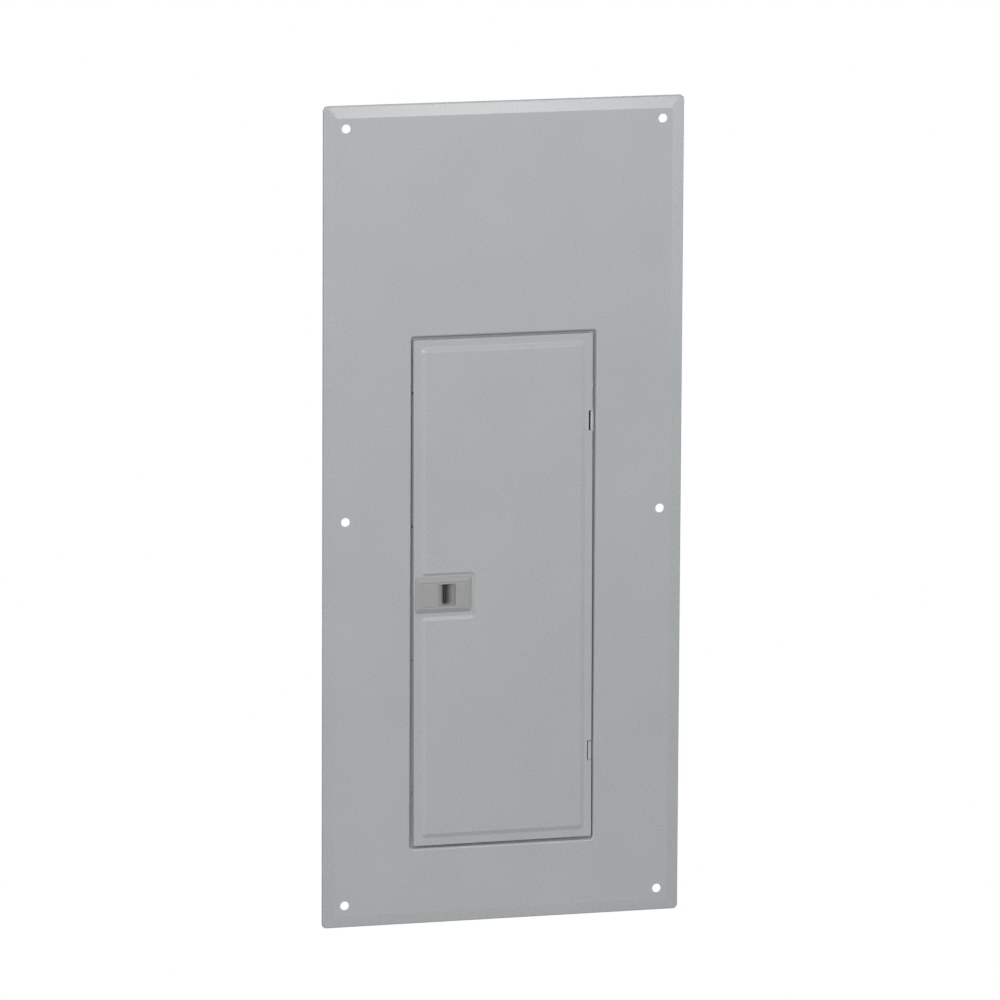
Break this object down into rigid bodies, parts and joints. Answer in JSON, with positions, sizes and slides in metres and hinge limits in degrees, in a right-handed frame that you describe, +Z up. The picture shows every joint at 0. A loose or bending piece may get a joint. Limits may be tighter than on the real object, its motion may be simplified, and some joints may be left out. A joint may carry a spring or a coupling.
{
  "type": "load center cover",
  "caption": "Flush pressed-steel cover of a residential load center, with a recessed embossed door on plated hinges, a spring-loaded slide latch and a dead front with breaker twist-outs.",
  "frame": {"origin": "centre of the four corner screw holes, on the cover's flat front face", "axes": "+X right for somebody facing the cover, +Y back into the wall, +Z up"},
  "size_m": [0.391, 0.024, 0.876],
  "materials": {
    "gray_enamel": "semi-gloss baked gray enamel on steel, faint orange peel",
    "dead_front_enamel": "satin baked gray enamel on steel",
    "zinc_plate": "bright zinc plate",
    "latch_plastic": "moulded gray plastic, fine texture",
    "slide_plastic": "moulded gray plastic, fine texture",
    "spring_steel": "drawn spring wire",
    "directory_card": "printed card with ruled rows and plain numbers",
    "number_film": "printed film with plain numbers"
  },
  "bodies": {
    "cover": {"cover_panel": "gray_enamel", "dead_front": "dead_front_enamel", "dead_front_rivets": "zinc_plate", "main_breaker_twistout": "dead_front_enamel", "twistout_row_01": "dead_front_enamel", "twistout_row_02": "dead_front_enamel", "twistout_row_03": "dead_front_enamel", "twistout_row_04": "dead_front_enamel", "twistout_row_05": "dead_front_enamel", "twistout_row_06": "dead_front_enamel", "twistout_row_07": "dead_front_enamel", "twistout_row_08": "dead_front_enamel", "twistout_row_09": "dead_front_enamel", "twistout_row_10": "dead_front_enamel", "twistout_row_11": "dead_front_enamel", "twistout_row_12": "dead_front_enamel", "twistout_row_13": "dead_front_enamel", "twistout_row_14": "dead_front_enamel", "twistout_row_15": "dead_front_enamel", "twistout_row_16": "dead_front_enamel", "twistout_row_17": "dead_front_enamel", "twistout_row_18": "dead_front_enamel", "twistout_row_19": "dead_front_enamel", "twistout_row_20": "dead_front_enamel", "number_strip_left": "number_film", "number_strip_right": "number_film", "hinge_strap_upper": "zinc_plate", "hinge_strap_lower": "zinc_plate", "hinge_rivets": "zinc_plate"},
    "door": {"door_panel": "gray_enamel", "directory_label": "directory_card", "door_hinge_bracket_upper": "zinc_plate", "door_hinge_bracket_lower": "zinc_plate", "hinge_pin_upper": "zinc_plate", "hinge_pin_lower": "zinc_plate", "latch_housing": "latch_plastic", "latch_back_cover": "latch_plastic", "latch_spring": "spring_steel"},
    "latch_slide": {"latch_slide": "slide_plastic"}
  },
  "joints": [
    {"name": "door_hinge", "type": "hinge", "parent": "cover", "child": "door", "pos_m": [0.0967, 0.0026, -0.0824], "axis": [0, 0, 1], "range_deg": [0, 110]},
    {"name": "latch_release", "type": "slide", "parent": "door", "child": "latch_slide", "axis": [1, 0, 0], "range_m": [0, 0.005], "stiffness_N_per_m": 400, "springref_m": -0.003, "deforming": ["latch_spring"]}
  ]
}
